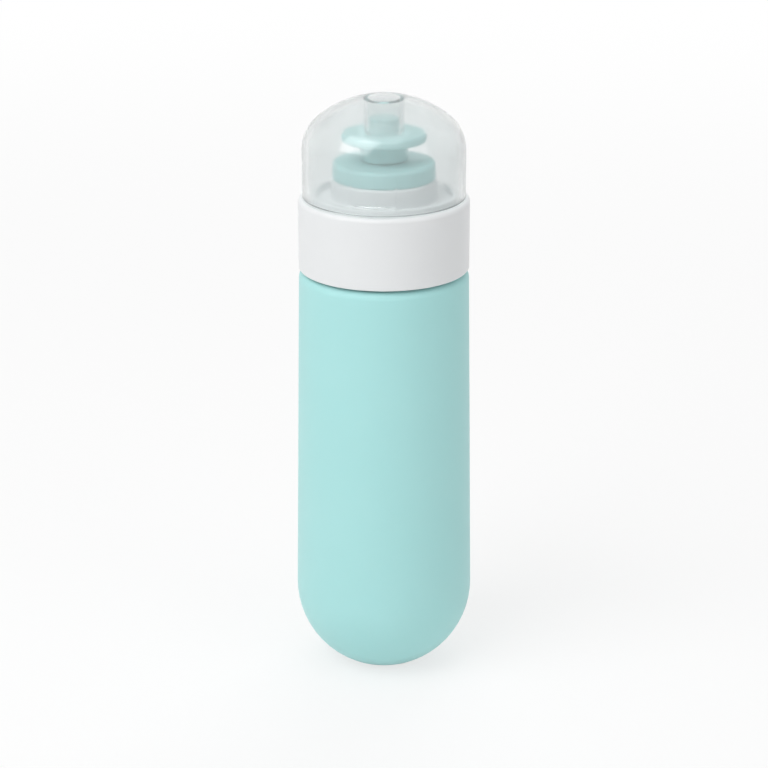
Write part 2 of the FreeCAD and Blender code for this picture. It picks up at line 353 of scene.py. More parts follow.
@dataclass(frozen=True)
class MouldedPlastic(Finish):
    """Satin moulded plastic: a faint flow in the colour, a fine spark grain and uneven gloss."""

    colour: Colour
    flow: Colour
    roughness: Point = (0.32, 0.42)
    flow_scale: float = 60.0
    flow_detail: float = 4.0
    grain_scale: float = 3800.0
    grain: Relief = Relief(strength=0.2, distance=0.00001)
    depth: float = 0.1              # share of the light that goes under the surface
    reach: float = 0.0015           # how far it goes there
    reach_by_colour: tuple[float, float, float] = (1.0, 1.0, 1.0)
    bend: float = 1.49              # index of refraction

    def sockets(self, graph: Graph, coords: Socket) -> Inputs:
        """Work out what goes into the shader.

        Args:
            graph: The material's nodes.
            coords: The place on the piece, in metres.

        Returns:
            The shader's inputs.
        """
        flow = graph.noise(coords, self.flow_scale, self.flow_detail)
        grain = graph.noise(coords, self.grain_scale)
        return {
            "Base Color": graph.tint(flow, self.colour, self.flow),
            "Roughness": graph.spread(flow, *self.roughness),
            "Normal": graph.bump(grain, self.grain),
            "Subsurface Weight": self.depth,
            "Subsurface Radius": self.reach_by_colour,
            "Subsurface Scale": self.reach,
            "IOR": self.bend,
        }


@dataclass(frozen=True)
class ClearPlastic(Finish):
    """Clear moulded plastic: a gentle waviness from the mould and a breath of haze, letting lamps through."""

    colour: Colour
    haze: Colour
    roughness: Point = (0.09, 0.17)
    clarity: float = 0.90
    wave_scale: float = 140.0
    wave: Relief = Relief(strength=0.06, distance=0.00008)
    bend: float = 1.49              # index of refraction

    def sockets(self, graph: Graph, coords: Socket) -> Inputs:
        """Work out what goes into the shader.

        Args:
            graph: The material's nodes.
            coords: The place on the piece, in metres.

        Returns:
            The shader's inputs.
        """
        wave = graph.noise(coords, self.wave_scale)
        return {
            "Base Color": graph.tint(wave, self.colour, self.haze),
            "Roughness": graph.spread(wave, *self.roughness),
            "Normal": graph.bump(wave, self.wave),
            "Transmission Weight": self.clarity,
            "IOR": self.bend,
        }

    def surface(self, graph: Graph, shaded: Socket) -> Socket:
        """Let the rays that carry light go straight through, so that what is inside is lit.

        Args:
            graph: The material's nodes.
            shaded: The main shader.

        Returns:
            The socket that goes to the surface.
        """
        passing = graph.node("ShaderNodeBsdfTransparent", {"Color": self.colour})
        path = graph.node("ShaderNodeLightPath").outputs
        lit = graph.math("MAXIMUM", path["Is Shadow Ray"], path["Is Diffuse Ray"])
        return graph.mix(lit, shaded, passing.outputs["BSDF"])


@dataclass(frozen=True)
class DrawnSteel(Finish):
    """Drawn steel wire: fine lines along X in the gloss."""

    colour: Colour
    worn: Colour
    roughness: Point = (0.18, 0.36)
    line_scale: float = 2400.0
    line_detail: float = 3.0
    lines: Relief = Relief(strength=0.15, distance=0.00001)
    stretch: float = 0.04           # how slowly the lines change along X

    def sockets(self, graph: Graph, coords: Socket) -> Inputs:
        """Work out what goes into the shader.

        Args:
            graph: The material's nodes.
            coords: The place on the piece, in metres.

        Returns:
            The shader's inputs.
        """
        along = graph.node("ShaderNodeMapping", {"Vector": coords, "Scale": (self.stretch, 1.0, 1.0)})
        lines = graph.noise(along.outputs["Vector"], self.line_scale, self.line_detail)
        return {
            "Base Color": graph.tint(lines, self.colour, self.worn),
            "Roughness": graph.spread(lines, *self.roughness),
            "Normal": graph.bump(lines, self.lines),
            "Metallic": 1.0,
        }


@dataclass(frozen=True)
class Finishes:
    """The finishes of this bottle."""

    body: Finish = Silicone(
        "mint_silicone", colour=(0.42, 0.765, 0.755, 1.0), cloud=(0.45, 0.79, 0.78, 1.0),
        seam_half_width=0.00025)
    valve: Finish = Silicone(
        "teal_silicone", colour=(0.40, 0.68, 0.675, 1.0), cloud=(0.44, 0.71, 0.705, 1.0),
        roughness=(0.42, 0.55))
    washer: Finish = Silicone(
        "white_silicone", colour=(0.74, 0.76, 0.74, 1.0), cloud=(0.80, 0.81, 0.79, 1.0),
        roughness=(0.4, 0.5))
    closure: Finish = MouldedPlastic(
        "white_polypropylene", colour=(0.80, 0.815, 0.825, 1.0), flow=(0.83, 0.845, 0.85, 1.0))
    neck: Finish = MouldedPlastic(
        "natural_polypropylene", colour=(0.74, 0.76, 0.74, 1.0), flow=(0.78, 0.79, 0.77, 1.0), depth=0.25)
    lid: Finish = ClearPlastic(
        "clear_plastic", colour=(0.92, 0.94, 0.94, 1.0), haze=(0.88, 0.905, 0.905, 1.0))
    pin: Finish = DrawnSteel(
        "drawn_steel", colour=(0.62, 0.62, 0.63, 1.0), worn=(0.50, 0.50, 0.51, 1.0))


FINISHES = Finishes()


@dataclass(frozen=True)
class Corner:
    """One point of an outline, and how the outline comes to it."""

    place: Vector
    rounding: float
    straight: bool


def swung(spoke: Vector, turn: float, most: float) -> list[Vector]:
    """Swing a spoke round in even steps.

    Args:
        spoke: The spoke, from the centre of the swing.
        turn: How far it swings, clockwise.
        most: The most that it may turn in a step.

    Returns:
        The spoke at each step, with the first and last.
    """
    steps = max(FEWEST_STEPS, math.ceil(abs(turn) / most))
    return [Matrix.Rotation(-turn * step / steps, 2) @ spoke for step in range(steps + 1)]


class Outline:
    """A closed outline, drawn from corner to corner."""

    def __init__(self) -> None:
        """Start with nothing drawn."""
        self.corners: list[Corner] = []

    @classmethod
    def rod(cls, radius: float, low: float, high: float, edge: float = 0.0) -> "Outline":
        """Draw the half section of a round rod, with the edges of its ends rounded."""
        return cls().to(0, low).to(radius, low, edge).to(radius, high, edge).to(0, high)

    def to(self, across: float, up: float, rounding: float = 0.0) -> "Outline":
        """Go straight to a corner, whose place across is its radius on a half section."""
        self.corners.append(Corner(Vector((across, up)), rounding, straight=True))
        return self

    def arc(self, centre: Point, end: Point) -> "Outline":
        """Go round a centre to a point, the short way.

        Args:
            centre: The arc's centre.
            end: Where it ends.

        Returns:
            The outline, to draw on.
        """
        middle = Vector(centre)
        start = self.corners[-1].place - middle
        turn = start.angle_signed(Vector(end) - middle)
        spokes = swung(start, turn, ARC_STEP)[1:]
        self.corners += [Corner(middle + spoke, rounding=0.0, straight=False) for spoke in spokes]
        return self

    def rounded(self, index: int) -> list[Vector]:
        """Take one corner off.

        Args:
            index: Which corner.

        Returns:
            The points that stand for it.
        """
        corner = self.corners[index]
        if not corner.rounding:
            return [corner.place]
        before = self.corners[index - 1].place - corner.place
        after = self.corners[(index + 1) % len(self.corners)].place - corner.place
        half = before.angle(after) / 2
        room = SIDE_SHARE * min(before.length, after.length)
        tangent = min(corner.rounding / math.tan(half), room)
        radius = tangent * math.tan(half)
        inward = (before.normalized() + after.normalized()).normalized()
        middle = corner.place + inward * (radius / math.sin(half))
        start = corner.place + before.normalized() * tangent - middle
        turn = start.angle_signed(corner.place + after.normalized() * tangent - middle)
        return [middle + spoke for spoke in swung(start, turn, CORNER_STEP)]

    def points(self) -> list[Vector]:
        """Work the outline out.

        Returns:
            Its points in order, with a support point by each end of a long straight stretch.
        """
        groups = [self.rounded(index) for index in range(len(self.corners))]
        drawn: list[Vector] = []
        for index, group in enumerate(groups):
            start, end = groups[index - 1][-1], group[0]
            on_axis = max(abs(start.x), abs(end.x)) < SAME_POINT
            run = end - start
            if self.corners[index].straight and run.length > SUPPORTED and not on_axis:
                step = run.normalized() * SUPPORT
                drawn += [start + step, end - step]
            drawn += group
        return drawn


def in_scene(name: str, data: bpy.types.ID) -> bpy.types.Object:
    """Make an object of a mesh, lamp or camera and link it to the scene.

    Args:
        name: The object's name.
        data: What it shows.

    Returns:
        The object, at the origin.
    """
    made = bpy.data.objects.new(name, data)
    bpy.context.scene.collection.objects.link(made)
    return made


def outward(mesh: Mesh) -> Mesh:
    """Merge what coincides in a closed mesh and turn its faces outwards.

    Args:
        mesh: The mesh, which is changed.

    Returns:
        The same mesh.
    """
    work = bmesh.new()
    work.from_mesh(mesh)
    bmesh.ops.remove_doubles(work, verts=work.verts, dist=SAME_POINT)
    bmesh.ops.dissolve_degenerate(work, edges=work.edges, dist=SAME_POINT)
    bmesh.ops.delete(work, geom=[edge for edge in work.edges if not edge.link_faces], context="EDGES")
    if work.calc_volume(signed=True) < 0:
        bmesh.ops.reverse_faces(work, faces=work.faces)
    work.to_mesh(mesh)
    work.free()
    return mesh


def settled(holder: bpy.types.Object, *tools: bpy.types.Object) -> Mesh:
    """Turn an object with its modifiers into a plain mesh, and remove the object.

    Args:
        holder: The object.
        *tools: Other objects that its modifiers use, which are removed with it.

    Returns:
        A plain closed mesh.
    """
    made = bpy.data.meshes.new_from_object(holder.evaluated_get(bpy.context.evaluated_depsgraph_get()))
    for spent in [*tools, holder]:
        bpy.data.objects.remove(spent)
    return outward(made)


class NodeTool:
    """A Geometry Nodes tree with named inputs that makes one mesh at a time."""

    def __init__(self, name: str, inputs: dict[str, str]) -> None:
        """Start the tree.

        Args:
            name: What it makes.
            inputs: Its inputs, each with the kind of its socket; a material comes with them.
        """
        self.tree = bpy.data.node_groups.new(name, "GeometryNodeTree")
        self.graph = Graph(self.tree)
        for label, kind in (inputs | {"Material": "Material"}).items():
            self.tree.interface.new_socket(label, in_out="INPUT", socket_type=f"NodeSocket{kind}")
        self.tree.interface.new_socket("Geometry", in_out="OUTPUT", socket_type="NodeSocketGeometry")
        self.inputs = self.graph.node("NodeGroupInput").outputs

    def close(self, made: Socket) -> None:
        """End the tree in plain geometry that has its material.

        Args:
            made: What the nodes have made.
        """
        real = self.graph.node("GeometryNodeRealizeInstances", {"Geometry": made})
        dressed = self.graph.node("GeometryNodeSetMaterial", {
            "Geometry": real.outputs[0], "Material": self.inputs["Material"]})
        self.graph.node("NodeGroupOutput", {"Geometry": dressed.outputs[0]})

    def run(self, values: dict[str, object], source: Mesh) -> Mesh:
        """Make a mesh.

        Args:
            values: What the named inputs are set to.
            source: The mesh that the nodes start from.

        Returns:
            A plain closed mesh.
        """
        holder = in_scene("draft", source)
        nodes = holder.modifiers.new(self.tree.name, "NODES")
        nodes.node_group = self.tree
        for socket in self.tree.interface.items_tree:
            if socket.in_out == "INPUT" and socket.name in values:
                nodes[socket.identifier] = values[socket.name]
        return settled(holder)


class Lathe(NodeTool):
    """Sweeps a half section round the Z axis."""

    GUIDE = 10.0                    # radius of the circle that the section follows

    def __init__(self) -> None:
        """Build the nodes: a whole circle or a part of one, and the section carried along it."""
        super().__init__("turned_section", {
            "Section": "Geometry", "Steps": "Int", "Whole": "Bool", "Start": "Float", "Sweep": "Float",
            "Guide Radius": "Float"})
        graph, sizes = self.graph, self.inputs
        ring = graph.node("GeometryNodeCurvePrimitiveCircle", {
            "Resolution": sizes["Steps"], "Radius": sizes["Guide Radius"]})
        part = graph.node("GeometryNodeCurveArc", {
            "Resolution": sizes["Steps"], "Radius": sizes["Guide Radius"], "Start Angle": sizes["Start"],
            "Sweep Angle": sizes["Sweep"]}, mode="RADIUS")
        guide = graph.node("GeometryNodeSwitch", {
            "Switch": sizes["Whole"], "False": part.outputs[0], "True": ring.outputs[0]},
            input_type="GEOMETRY")
        level = graph.node("GeometryNodeSetCurveNormal", {"Curve": guide.outputs[0]}, mode="Z_UP")
        section = graph.node("GeometryNodeMeshToCurve", {"Mesh": sizes["Section"]})
        swept = graph.node("GeometryNodeCurveToMesh", {
            "Curve": level.outputs[0], "Profile Curve": section.outputs[0], "Fill Caps": True})
        self.close(swept.outputs[0])

    def turn(self, outline: Outline, finish: Finish, start: float = 0.0, sweep: float = math.tau) -> Mesh:
        """Turn a half section.

        Args:
            outline: The section, with the radius across.
            finish: What the piece is made of.
            start: Angle where the turn begins.
            sweep: How far it goes; less than a full turn gets its two ends closed.

        Returns:
            The turned mesh.
        """
        points = outline.points()
        draft = bpy.data.meshes.new("draft")
        edges = [(row, (row + 1) % len(points)) for row in range(len(points))]
        # on the guide, the section's X leads outwards and its Y down
        draft.from_pydata([(point.x - self.GUIDE, -point.y, 0) for point in points], edges, [])
        whole = sweep >= math.tau
        steps = round(TURN_STEPS * sweep / math.tau)
        return self.run({
            "Steps": steps if whole else steps + 1, "Whole": whole, "Start": start, "Sweep": sweep,
            "Guide Radius": self.GUIDE, "Material": finish.material()}, draft)


LATHE = Lathe()


def moved(mesh: Mesh, matrix: Matrix) -> Mesh:
    """Move a mesh's own points, and give it back."""
    mesh.transform(matrix)
    return mesh


def bar(finish: Finish, radius: float, span: Point, line: Point, edge: float = 0.0) -> Mesh:
    """Make a round bar along X.

    Args:
        finish: What it is made of.
        radius: The bar's radius.
        span: Where it starts and ends.
        line: Its (y, z).
        edge: Rounding of its ends.

    Returns:
        The bar.
    """
    rod = LATHE.turn(Outline.rod(radius, *span, edge), finish)
    return moved(rod, Matrix.Translation((0, *line)) @ Matrix.Rotation(math.pi / 2, 4, "Y"))


def plate(outline: Outline, span: Point, edge: float = 0.0) -> Mesh:
    """Make a plate across X.

    Args:
        outline: Its shape in (y, z).
        span: Where it starts and ends.
        edge: Rounding of its rim.

    Returns:
        The plate.
    """
    shape = [point for group in map(outline.rounded, range(len(outline.corners))) for point in group]
    size = len(shape)
    points = [Vector((x, point.x, point.y)) for x in span for point in shape]
    sides = [(row, (row + 1) % size, size + (row + 1) % size, size + row) for row in range(size)]
    mesh = bpy.data.meshes.new("draft")
    mesh.from_pydata(points, [], [*sides, tuple(reversed(range(size))), tuple(range(size, 2 * size))])
    outward(mesh)
    if edge:
        work = bmesh.new()
        work.from_mesh(mesh)
        rims = [line for line in work.edges if abs(line.verts[0].co.x - line.verts[1].co.x) < SAME_POINT]
        bmesh.ops.bevel(
            work, geom=rims, offset=edge, segments=RIM_STEPS, profile=RIM_PROFILE, affect="EDGES",
            clamp_overlap=True)
        work.to_mesh(mesh)
        work.free()
    return mesh


def joined(base: Mesh, *steps: tuple[Join, Mesh]) -> Mesh:
    """Put closed meshes to a first one, one after the other.

    Args:
        base: The first mesh.
        *steps: How each of the others is put to it.

    Returns:
        One closed mesh.
    """
    holder = in_scene("draft", base)
    tools = []
    for how, mesh in steps:
        tools.append(in_scene("draft_tool", mesh))
        step = holder.modifiers.new(how.name, "BOOLEAN")
        step.operation = how.value
        step.solver = "EXACT"
        step.object = tools[-1]
    return settled(holder, *tools)


@dataclass
class Piece:
    """A mesh with its finish and the body that it moves with."""

    name: str
    mesh: Mesh
    finish: Finish
    body: Body
    slot: Slot
    stands_for: str | None = None

    def place(self) -> None:
        """Put the piece in the scene, in metres, dressed and riding on its body."""
        mesh = moved(self.mesh, Matrix.Scale(METRES, 4))
        mesh.name = self.name
        mesh.polygons.foreach_set("use_smooth", [True] * len(mesh.polygons))
        mesh.set_sharp_from_angle(angle=CREASE)
        mesh.materials.clear()
        mesh.materials.append(self.finish.material())
        made = in_scene(self.name, mesh)
        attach(made, self.body.value)
        if self.stands_for:
            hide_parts(self.stands_for)
        LOG.info("%s: %d faces, %s, on %s", self.name, len(mesh.polygons), self.finish.name, self.body.value)


class RidgeTool(NodeTool):
    """Sweeps a soft ridge along a right-hand helix and lets it run out at both ends."""

    ROUNDING = 0.45                 # of the ridge's corners, as a share of its width
    ROUNDING_STEPS = 4
    LAST = 0.08                     # share of the ridge that is left at its two ends

    def __init__(self) -> None:
        """Build the nodes: the helix, the ridge's section and the fading of the ends."""
        super().__init__("screw_thread", {
            "Radius": "Float", "Pitch": "Float", "Turns": "Float", "Ridge Width": "Float",
            "Ridge Depth": "Float", "Run Out": "Float", "Steps": "Int"})
        graph, sizes = self.graph, self.inputs
        helix = graph.node("GeometryNodeCurveSpiral", {
            "Resolution": sizes["Steps"], "Rotations": sizes["Turns"], "Start Radius": sizes["Radius"],
            "End Radius": sizes["Radius"], "Height": graph.math("MULTIPLY", sizes["Pitch"], sizes["Turns"]),
            "Reverse": True})
        level = graph.node("GeometryNodeSetCurveNormal", {"Curve": helix.outputs[0]}, mode="Z_UP")
        both_sides = graph.math("ADD", sizes["Ridge Depth"], sizes["Ridge Depth"])
        block = graph.node("GeometryNodeCurvePrimitiveQuadrilateral", {
            "Width": both_sides, "Height": sizes["Ridge Width"]}, mode="RECTANGLE")
        ridge = graph.node("GeometryNodeFilletCurve", {
            "Curve": block.outputs[0], "Count": self.ROUNDING_STEPS,
            "Radius": graph.math("MULTIPLY", sizes["Ridge Width"], self.ROUNDING),
            "Limit Radius": True}, mode="POLY")
        along = graph.node("GeometryNodeSplineParameter").outputs["Factor"]
        nearest_end = graph.math("MINIMUM", along, graph.math("SUBTRACT", 1.0, along))
        fade = graph.node("ShaderNodeMapRange", {
            "Value": nearest_end, "From Max": sizes["Run Out"], "To Min": self.LAST},
            interpolation_type="SMOOTHSTEP")
        swept = graph.node("GeometryNodeCurveToMesh", {
            "Curve": level.outputs[0], "Profile Curve": ridge.outputs[0], "Scale": fade.outputs["Result"],
            "Fill Caps": True})
        self.close(swept.outputs[0])


RIDGES = RidgeTool()


@dataclass(frozen=True)
class ScrewThread:
    """A thread of one ridge; its ridge is sunk by half into the wall that carries it."""

    radius: float
    start_height: float
    width: float
    depth: float
    turns: float
    pitch: float = 4.233
    run_out: float = 0.12           # share of its length in which each end fades
    steps_per_turn: int = 96

    def mesh(self, finish: Finish) -> Mesh:
        """Make the ridge.

        Args:
            finish: What it is made of.

        Returns:
            A plain closed mesh.
        """
        made = RIDGES.run({
            "Radius": self.radius, "Pitch": self.pitch, "Turns": self.turns, "Ridge Width": self.width,
            "Ridge Depth": self.depth, "Run Out": self.run_out, "Steps": self.steps_per_turn,
            "Material": finish.material()}, bpy.data.meshes.new("draft"))
        return moved(made, Matrix.Translation((0, 0, self.start_height)))


@dataclass
class SqueezeBottle:
    """The silicone body and the rigid neck that its lip grips."""

    body: NodeBox = NodeBox.of("squeeze_body")
    neck: NodeBox = NodeBox.of("neck_insert")
    top_radius: float = 20.5
    wall: float = 2.4
    floor: float = 2.8
    foot_radius: float = 9.0
    dimple_radius: float = 5.5
    dimple_depth: float = 0.6
    dimple_edge: float = 0.4
    lip_edge: float = 2.2
    mouth_edge: float = 0.5
    hollow_edge: float = 0.8
    lip_thickness: float = 3.0
    neck_radius: float = 15.1
    neck_wall: float = 2.4
    neck_fit: float = 0.1
    flange_thickness: float = 1.4
    anchor_radius: float = 16.9
    anchor_taper: float = 1.0
    moulded_edge: float = 0.35
    thread_rise: float = 1.65
    thread_width: float = 1.3
    thread_depth: float = 0.85
    thread_turns: float = 1.5

    @property
    def lip_bottom(self) -> float:
        """Height of the lip's underside."""
        return self.body.top - self.lip_thickness

    @property
    def flange_top(self) -> float:
        """Height of the flange that lies on the lip."""
        return self.body.top + self.flange_thickness

    @property
    def thread(self) -> ScrewThread:
        """The neck's thread."""
        start = self.flange_top + self.thread_rise
        return ScrewThread(self.neck_radius, start, self.thread_width, self.thread_depth, self.thread_turns)

    def flank(self, ball_radius: float, ball_height: float, top: Point) -> Point:
        """Find where a straight flank runs into the ball of the bottom.

        Args:
            ball_radius: The ball's radius.
            ball_height: Height of its centre.
            top: The flank's upper end.

        Returns:
            The point where the two meet.
        """
        height = top[1] - ball_height
        lean = math.asin(ball_radius / math.hypot(top[0], height)) - math.atan2(top[0], height)
        return ball_radius * math.cos(lean), ball_height + ball_radius * math.sin(lean)

    def body_mesh(self) -> Mesh:
        """Turn the soft shell: round bottom, flat foot with a dimple, and a lip that rolls in to the neck.

        Returns:
            The shell.
        """
        ball = self.body.radius
        ball_height = math.sqrt(ball ** 2 - self.foot_radius ** 2)
        lip = (self.top_radius - self.lip_edge, self.body.top - self.lip_edge)
        widest = self.flank(ball, ball_height, (self.top_radius, lip[1]))
        hollow = ball - self.wall
        hollow_height = self.floor + hollow
        hollow_top = (self.top_radius - self.wall, self.lip_bottom)
        mouth = self.neck_radius + self.neck_fit
        outline = Outline().to(0, self.dimple_depth)
        outline.to(self.dimple_radius - self.dimple_depth, self.dimple_depth, self.dimple_edge)
        outline.to(self.dimple_radius, 0, self.dimple_edge).to(self.foot_radius, 0)
        outline.arc((0, ball_height), widest).to(self.top_radius, lip[1])
        outline.arc(lip, (lip[0], self.body.top)).to(mouth, self.body.top, self.mouth_edge)
        outline.to(mouth, self.lip_bottom, self.mouth_edge).to(*hollow_top, self.hollow_edge)
        outline.to(*self.flank(hollow, hollow_height, hollow_top)).arc((0, hollow_height), (0, self.floor))
        return LATHE.turn(outline, FINISHES.body)

    def neck_mesh(self) -> Mesh:
        """Turn the neck: a barb under the lip, a flange on it and the bore that the bottle is filled by.

        Returns:
            The neck.
        """
        soft = self.moulded_edge
        bore = self.neck_radius - self.neck_wall
        outline = Outline().to(bore, self.neck.bottom, soft).to(self.neck_radius, self.neck.bottom, soft)
        outline.to(self.anchor_radius, self.neck.bottom + self.anchor_taper, soft)
        outline.to(self.anchor_radius, self.lip_bottom, soft).to(self.neck_radius, self.lip_bottom)
        outline.to(self.neck_radius, self.body.top).to(self.neck.radius, self.body.top, soft)
        outline.to(self.neck.radius, self.flange_top, soft).to(self.neck_radius, self.flange_top, soft)
        outline.to(self.neck_radius, self.neck.top, soft).to(bore, self.neck.top, soft)
        return LATHE.turn(outline, FINISHES.neck)

    def build(self) -> list[Piece]:
        """Make the body, the neck and the neck's thread.

        Returns:
            The three pieces.
        """
        return [
            Piece("squeeze_body_soft", self.body_mesh(), FINISHES.body, Body.BOTTLE, Slot.BODY,
                  "squeeze_body"),
            Piece("neck_insert_moulded", self.neck_mesh(), FINISHES.neck, Body.BOTTLE, Slot.NECK,
                  "neck_insert"),
            Piece("neck_thread", self.thread.mesh(FINISHES.neck), FINISHES.neck, Body.BOTTLE, Slot.NECK),
        ]


@dataclass
class HingeLine:
    """The pin's line, and the parts that sit on it."""

    pin: NodeBox = NodeBox.of("hinge_pin")
    knuckle_radius: float = 2.2
    knuckle_width: float = 8.0
    knuckle_edge: float = 0.2
    ear_foot: float = 5.2
    ear_edge: float = 0.25
    side_gap: float = 0.25
    clearance: float = 0.4
    pin_play: float = 0.05

    @property
    def line(self) -> Point:
        """The pin's (y, z)."""
        return self.pin.middle.y, self.pin.middle.z

    @property
    def pin_radius(self) -> float:
        """Radius of the pin."""
        return (self.pin.top - self.pin.bottom) / 2

    @property
    def ear_span(self) -> Point:
        """Where an ear starts and ends along X."""
        return self.knuckle_width / 2 + self.side_gap, self.pin.radius


@dataclass
class ScrewClosure:
    """The white closure with its thread, washer, slit valve and the ring that holds the valve."""

    bottle: SqueezeBottle
    hinge: HingeLine
    shell: NodeBox = NodeBox.of("screw_closure")
    washer: NodeBox = NodeBox.of("sealing_washer")
    valve: NodeBox = NodeBox.of("valve")
    ring: NodeBox = NodeBox.of("valve_retainer")
    skirt_wall: float = 1.3
    skirt_edge: float = 0.4
    skirt_room: float = 1.3
    sleeve_wall: float = 1.4
    sleeve_foot_gap: float = 3.0
    deck_thickness: float = 2.0
    deck_edge: float = 1.1
    rim_height: float = 1.4
    rim_wall: float = 1.2
    rim_radius: float = 17.5
    rim_edge: float = 0.4
    rim_open: float = math.radians(60)  # to each side of the back
    spout_radius: float = 12.6
    spout_height: float = 4.8
    spout_edge: float = 0.6
    spout_foot: float = 0.5
    spout_bore: float = 10.0
    spout_roof: float = 1.4
    valve_head: float = 12.2
    valve_edge: float = 0.9
    valve_stem: float = 8.2
    valve_fit: float = 0.1
    valve_flange: float = 9.6
    valve_bore: float = 6.2
    dish_radius: float = 4.6
    dish_depth: float = 1.1
    dish_edge: float = 0.25
    membrane: float = 1.0
    membrane_edge: float = 0.6
    slit_length: float = 6.0
    slit_width: float = 0.2
    ring_bore: float = 6.6
    washer_bore: float = 12.7
    moulded_edge: float = 0.3
    soft_edge: float = 0.3
    thread_width: float = 1.2
    thread_turns: float = 1.5

    @property
    def deck(self) -> float:
        """Height of the deck that the lid closes on."""
        return self.washer.top + self.deck_thickness

    @property
    def spout_top(self) -> float:
        """Height of the spout's top face."""
        return self.deck + self.spout_height

    @property
    def sleeve_radius(self) -> float:
        """Outer radius of the threaded sleeve."""
        return self.shell.radius - self.skirt_wall - self.skirt_room

    @property
    def thread(self) -> ScrewThread:
        """Set out the sleeve's thread, half a pitch off the neck's.

        Returns:
            The thread.
        """
        other = self.bottle.thread
        start = other.start_height + other.pitch / 2
        radius = self.sleeve_radius - self.sleeve_wall
        return ScrewThread(radius, start, self.thread_width, other.depth, self.thread_turns)

    def shell_mesh(self) -> Mesh:
        """Turn the skirt, deck, threaded sleeve and spout.

        Returns:
            The shell, without its rim and ears.
        """
        soft = self.moulded_edge
        under = self.washer.top
        inside = self.shell.radius - self.skirt_wall
        bore = self.sleeve_radius - self.sleeve_wall
        foot = self.bottle.flange_top + self.sleeve_foot_gap
        hole = self.valve_stem + self.valve_fit
        roof = self.spout_top - self.spout_roof
        outline = Outline().to(inside, self.shell.bottom, soft)
        outline.to(self.shell.radius, self.shell.bottom, self.skirt_edge)
        outline.to(self.shell.radius, self.deck, self.deck_edge)
        outline.to(self.spout_radius, self.deck, self.spout_foot)
        outline.to(self.spout_radius, self.spout_top, self.spout_edge)
        outline.to(hole, self.spout_top, soft).to(hole, roof).to(self.spout_bore, roof, soft)
        outline.to(self.spout_bore, under, soft).to(bore, under, soft).to(bore, foot, soft)
        outline.to(self.sleeve_radius, foot, soft).to(self.sleeve_radius, under, soft).to(inside, under, soft)
        return LATHE.turn(outline, FINISHES.closure)

    def rim_mesh(self) -> Mesh:
        """Turn the upstand that centres the lid, open at the back where the lid swings.

        Returns:
            The upstand, with its foot sunk in the deck.
        """
        inside = self.rim_radius - self.rim_wall
        base = self.deck - self.deck_thickness / 2
        top = self.deck + self.rim_height
        outline = Outline().to(inside, base).to(self.rim_radius, base)
        outline.to(self.rim_radius, top, self.rim_edge).to(inside, top, self.rim_edge)
        start, sweep = math.pi / 2 + self.rim_open, math.tau - 2 * self.rim_open
        return LATHE.turn(outline, FINISHES.closure, start, sweep)

    def ear_mesh(self, side: int) -> Mesh:
        """Make one ear of the hinge: an eye round the pin on a foot that leans back from the deck.

        Args:
            side: 1 for the right ear, -1 for the left.

        Returns:
            The ear.
        """
        near, far = self.hinge.ear_span
        y, z = self.hinge.line
        radius = self.hinge.knuckle_radius
        front = (y - self.hinge.ear_foot, self.deck)
        back = math.sqrt((self.shell.radius - self.deck_edge) ** 2 - far ** 2)
        sunk = self.deck - self.deck_thickness / 2
        toward = math.atan2(front[1] - z, front[0] - y)
        touch = toward - math.acos(radius / math.hypot(front[0] - y, front[1] - z))
        crown = (y + radius * math.cos(touch), z + radius * math.sin(touch))
        outline = Outline().to(front[0], sunk).to(back, sunk).to(back, self.deck).to(y, z - radius)
        outline.arc((y, z), (y + radius, z)).arc((y, z), crown).to(*front)
        return plate(outline, tuple(sorted((side * near, side * far))), self.hinge.ear_edge)

    def closure_mesh(self) -> Mesh:
        """Put the rim and the ears on the shell and bore the ears for the pin.

        Returns:
            The whole closure.
        """
        reach = 2 * self.hinge.pin.radius
        bore = bar(FINISHES.closure, self.hinge.pin_radius, (-reach, reach), self.hinge.line)
        return joined(
            self.shell_mesh(), (Join.ADD, self.rim_mesh()), (Join.ADD, self.ear_mesh(-1)),
            (Join.ADD, self.ear_mesh(1)), (Join.CUT, bore))

    def washer_mesh(self) -> Mesh:
        """Turn the flat ring between the neck and the deck.

        Returns:
            The washer.
        """
        outline = Outline()
        for radius, height in (
                (self.washer_bore, self.washer.bottom), (self.washer.radius, self.washer.bottom),
                (self.washer.radius, self.washer.top), (self.washer_bore, self.washer.top)):
            outline.to(radius, height, self.soft_edge)
        return LATHE.turn(outline, FINISHES.washer)

    def valve_mesh(self) -> Mesh:
        """Turn the valve and cut its crossed slits.

        Returns:
            The valve.
        """
        roof = self.spout_top - self.spout_roof
        dish = self.valve.top - self.dish_depth
        under = dish - self.membrane
        ball = (self.dish_radius ** 2 + self.dish_depth ** 2) / (2 * self.dish_depth)
        flange, soft = self.valve_flange, self.soft_edge
        outline = Outline().to(0, under).to(self.valve_bore, under, self.membrane_edge)
        outline.to(self.valve_bore, self.valve.bottom, soft)
        outline.to(flange, self.valve.bottom, soft).to(flange, roof, soft).to(self.valve_stem, roof)
        outline.to(self.valve_stem, self.spout_top).to(self.valve_head, self.spout_top, soft)
        outline.to(self.valve_head, self.valve.top, self.valve_edge)
        outline.to(self.dish_radius, self.valve.top, self.dish_edge)
        outline.arc((0, dish + ball), (0, dish))
        half, below = self.slit_length / 2, under - CUT_PAST
        slit = Outline().to(-half, below).to(half, below).to(half, self.valve.top).to(-half, self.valve.top)
        blade = (-self.slit_width / 2, self.slit_width / 2)
        crossed = [Matrix.Rotation(turn, 4, "Z") for turn in (0.0, math.pi / 2)]
        cuts = [(Join.CUT, moved(plate(slit, blade), turn)) for turn in crossed]
        return joined(LATHE.turn(outline, FINISHES.valve), *cuts)

